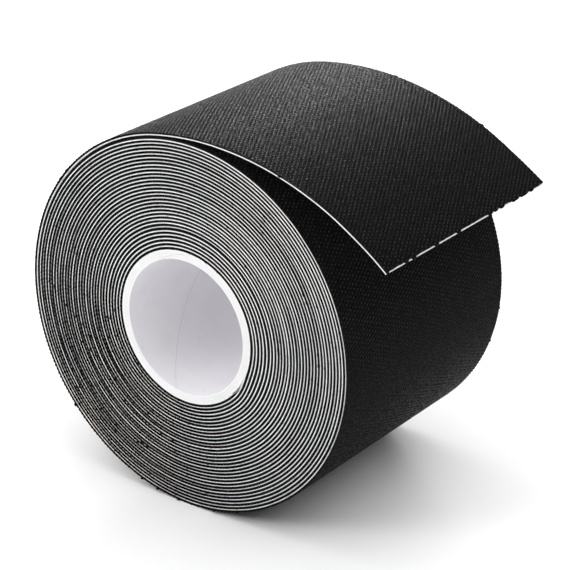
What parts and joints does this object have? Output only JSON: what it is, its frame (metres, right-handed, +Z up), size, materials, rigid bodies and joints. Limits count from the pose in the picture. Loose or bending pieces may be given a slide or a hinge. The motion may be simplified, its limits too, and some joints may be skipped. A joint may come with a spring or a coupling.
{
  "type": "adhesive tape roll",
  "caption": "Roll of black woven elastic adhesive tape on a white release liner, wound on a white paperboard core tube, with its square-cut free end lifted off the roll.",
  "frame": {"origin": "middle of the core's bore, at half the tape's width", "axes": "+Y along the roll's axis, +Z up, +X towards the side that the free end reaches over"},
  "size_m": [0.0798, 0.05, 0.0727],
  "materials": {
    "woven_fabric": "matte",
    "release_liner": "satin",
    "adhesive": "gloss",
    "core_board": "matte"
  },
  "bodies": {
    "roll": {"core_inner_ply": "core_board", "core_middle_ply": "core_board", "core_outer_ply": "core_board", "wound_fabric": "woven_fabric", "wound_adhesive": "adhesive", "wound_liner": "release_liner"},
    "tail_1": {"tail_fabric_1": "woven_fabric", "tail_adhesive_1": "adhesive", "tail_liner_1": "release_liner"},
    "tail_2": {"tail_fabric_2": "woven_fabric", "tail_adhesive_2": "adhesive", "tail_liner_2": "release_liner"},
    "tail_3": {"tail_fabric_3": "woven_fabric", "tail_adhesive_3": "adhesive", "tail_liner_3": "release_liner"},
    "tail_4": {"tail_fabric_4": "woven_fabric", "tail_adhesive_4": "adhesive", "tail_liner_4": "release_liner"},
    "liner_tip": {"tail_liner_5": "release_liner"},
    "tape_tip": {"tail_fabric_5": "woven_fabric", "tail_adhesive_5": "adhesive"}
  },
  "joints": [
    {"name": "tail_lift", "type": "hinge", "parent": "roll", "child": "tail_1", "pos_m": [-0.00543, 0, 0.03583], "axis": [0, -1, 0], "range_deg": [-3, 12], "stiffness_Nm_per_rad": 0.05, "springref_deg": 0.69},
    {"name": "tail_bend_2", "type": "hinge", "parent": "tail_1", "child": "tail_2", "pos_m": [0.00488, 0, 0.03656], "axis": [0, -1, 0], "range_deg": [-6, 24]},
    {"name": "tail_bend_3", "type": "hinge", "parent": "tail_2", "child": "tail_3", "pos_m": [0.01515, 0, 0.0355], "axis": [0, -1, 0], "range_deg": [-6, 24]},
    {"name": "tail_bend_4", "type": "hinge", "parent": "tail_3", "child": "tail_4", "pos_m": [0.02509, 0, 0.03268], "axis": [0, -1, 0], "range_deg": [-6, 24]},
    {"name": "tail_bend_5", "type": "hinge", "parent": "tail_4", "child": "liner_tip", "pos_m": [0.0344, 0, 0.02819], "axis": [0, -1, 0], "range_deg": [-6, 24]},
    {"name": "tape_peel", "type": "hinge", "parent": "liner_tip", "child": "tape_tip", "pos_m": [0.03456, 0, 0.02848], "axis": [0, -1, 0], "range_deg": [0, 120]}
  ],
  "couplings": [
    {"joint": "tail_bend_2", "follows": "tail_lift", "ratio": 2},
    {"joint": "tail_bend_3", "follows": "tail_lift", "ratio": 2},
    {"joint": "tail_bend_4", "follows": "tail_lift", "ratio": 2},
    {"joint": "tail_bend_5", "follows": "tail_lift", "ratio": 2}
  ]
}
